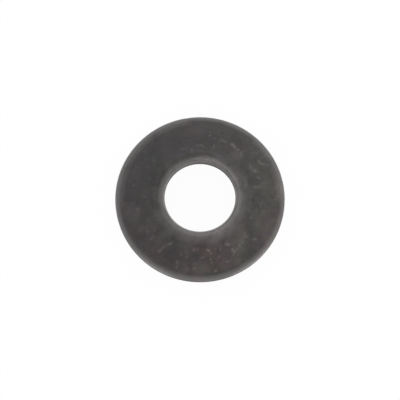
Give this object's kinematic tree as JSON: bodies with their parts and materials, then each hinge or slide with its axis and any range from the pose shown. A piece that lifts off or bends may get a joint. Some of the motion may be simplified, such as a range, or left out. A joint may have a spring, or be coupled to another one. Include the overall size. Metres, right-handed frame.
{
  "type": "conical spring washer",
  "caption": "Coned spring steel washer with a plain round bore, broadly rounded edges and a dark satin phosphate finish.",
  "frame": {"origin": "on the bore's axis, in the plane that the washer's rim rests on", "axes": "+Z along the bore's axis from the resting plane towards the crown; the washer is round, so X and Y are any two square directions"},
  "size_m": [0.0158, 0.0158, 0.0021],
  "materials": {
    "phosphated_spring_steel": "satin"
  },
  "bodies": {
    "root": {"conical_washer": "phosphated_spring_steel"}
  },
  "joints": []
}
